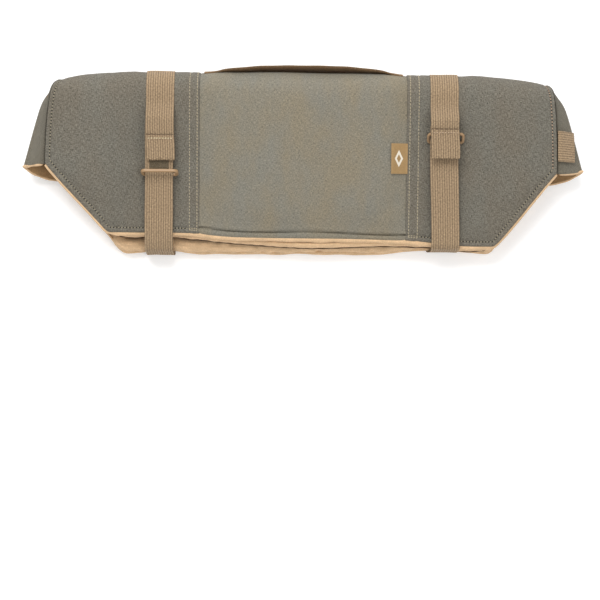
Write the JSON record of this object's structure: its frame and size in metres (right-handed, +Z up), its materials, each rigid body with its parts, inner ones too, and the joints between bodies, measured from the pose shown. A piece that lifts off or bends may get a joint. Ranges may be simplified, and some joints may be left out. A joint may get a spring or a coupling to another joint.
{
  "type": "padded optic cover",
  "caption": "Padded fold-over cover for a long optic, with end gussets, two webbing cinch straps with keeper rings and a carry handle.",
  "frame": {"origin": "middle of the footprint, on the surface that the cover lies on", "axes": "+X along the cover's length, +Y from the open mouth to the ridge with the handle, +Z up out of the front panel"},
  "size_m": [0.5, 0.17, 0.049],
  "materials": {
    "centre_fabric": "smooth matte woven nylon, grey-green khaki",
    "side_fabric": "heathered stretch-woven nylon, darker grey-olive",
    "gusset_fabric": "matte woven nylon, grey-olive",
    "lining": "brushed soft lining, tan",
    "foam": "closed-cell foam padding, matte",
    "webbing": "ribbed nylon webbing, tan",
    "hook_and_loop": "hook-and-loop tape, grey-green",
    "ring_plastic": "moulded acetal, tan",
    "label": null
  },
  "bodies": {
    "back_cover": {"back_centre_panel": "centre_fabric", "back_left_side_panel": "side_fabric", "back_right_side_panel": "side_fabric", "ridge_foam_pad": "foam", "back_foam_pad": "foam", "back_lining": "lining", "back_mouth_binding": "lining", "left_gusset_top": "gusset_fabric", "left_gusset_back": "gusset_fabric", "left_gusset_lining_top": "lining", "left_gusset_lining_back": "lining", "right_gusset_top": "gusset_fabric", "right_gusset_back": "gusset_fabric", "right_gusset_lining_top": "lining", "right_gusset_lining_back": "lining", "left_strap_back": "webbing", "right_strap_back": "webbing"},
    "front_cover": {"front_centre_panel": "centre_fabric", "front_left_side_panel": "side_fabric", "front_right_side_panel": "side_fabric", "front_foam_pad": "foam", "front_lining": "lining", "front_mouth_binding": "lining", "left_gusset_front": "gusset_fabric", "left_gusset_lining_front": "lining", "right_gusset_front": "gusset_fabric", "right_gusset_lining_front": "lining", "left_strap_upper": "webbing", "left_strap_lower": "webbing", "left_loop_patch": "hook_and_loop", "right_strap_upper": "webbing", "right_strap_lower": "webbing", "right_loop_patch": "hook_and_loop"},
    "handle": {"carry_handle": "webbing"},
    "left_ring": {"left_keeper_ring": "ring_plastic"},
    "right_ring": {"right_keeper_ring": "ring_plastic"},
    "left_end": {"left_strap_end": "webbing", "left_hook_patch": "hook_and_loop"},
    "right_end": {"right_strap_end": "webbing", "right_hook_patch": "hook_and_loop"},
    "label": {"side_label": "label"},
    "pull_tab": {"pull_tab": "webbing"}
  },
  "joints": [
    {"name": "cover_open", "type": "hinge", "parent": "back_cover", "child": "front_cover", "pos_m": [0, 0.0598, 0.0414], "axis": [-1, 0, 0], "range_deg": [0, 20]},
    {"name": "handle_swing", "type": "hinge", "parent": "back_cover", "child": "handle", "pos_m": [0, 0.0598, 0.0208], "axis": [1, 0, 0], "range_deg": [-35, 50]},
    {"name": "left_ring_slide", "type": "slide", "parent": "front_cover", "child": "left_ring", "axis": [0, -0.9951, -0.0991], "range_m": [0, 0.052]},
    {"name": "right_ring_slide", "type": "slide", "parent": "front_cover", "child": "right_ring", "axis": [0, -0.9951, -0.0991], "range_m": [0, 0.084]},
    {"name": "left_end_lift", "type": "hinge", "parent": "front_cover", "child": "left_end", "pos_m": [-0.1275, 0.02404, 0.04393], "axis": [-1, 0, 0], "range_deg": [0, 95]},
    {"name": "right_end_lift", "type": "hinge", "parent": "front_cover", "child": "right_end", "pos_m": [0.1275, 0.0307, 0.04801], "axis": [-1, 0, 0], "range_deg": [0, 95]},
    {"name": "label_flip", "type": "hinge", "parent": "front_cover", "child": "label", "pos_m": [0.094, 0.00471, 0.03522], "axis": [0, 0.9951, 0.0991], "range_deg": [0, 150]},
    {"name": "pull_tab_flip", "type": "hinge", "parent": "front_cover", "child": "pull_tab", "pos_m": [0.2281, 0.01543, 0.03914], "axis": [0, -0.9951, -0.0991], "range_deg": [0, 75]}
  ]
}
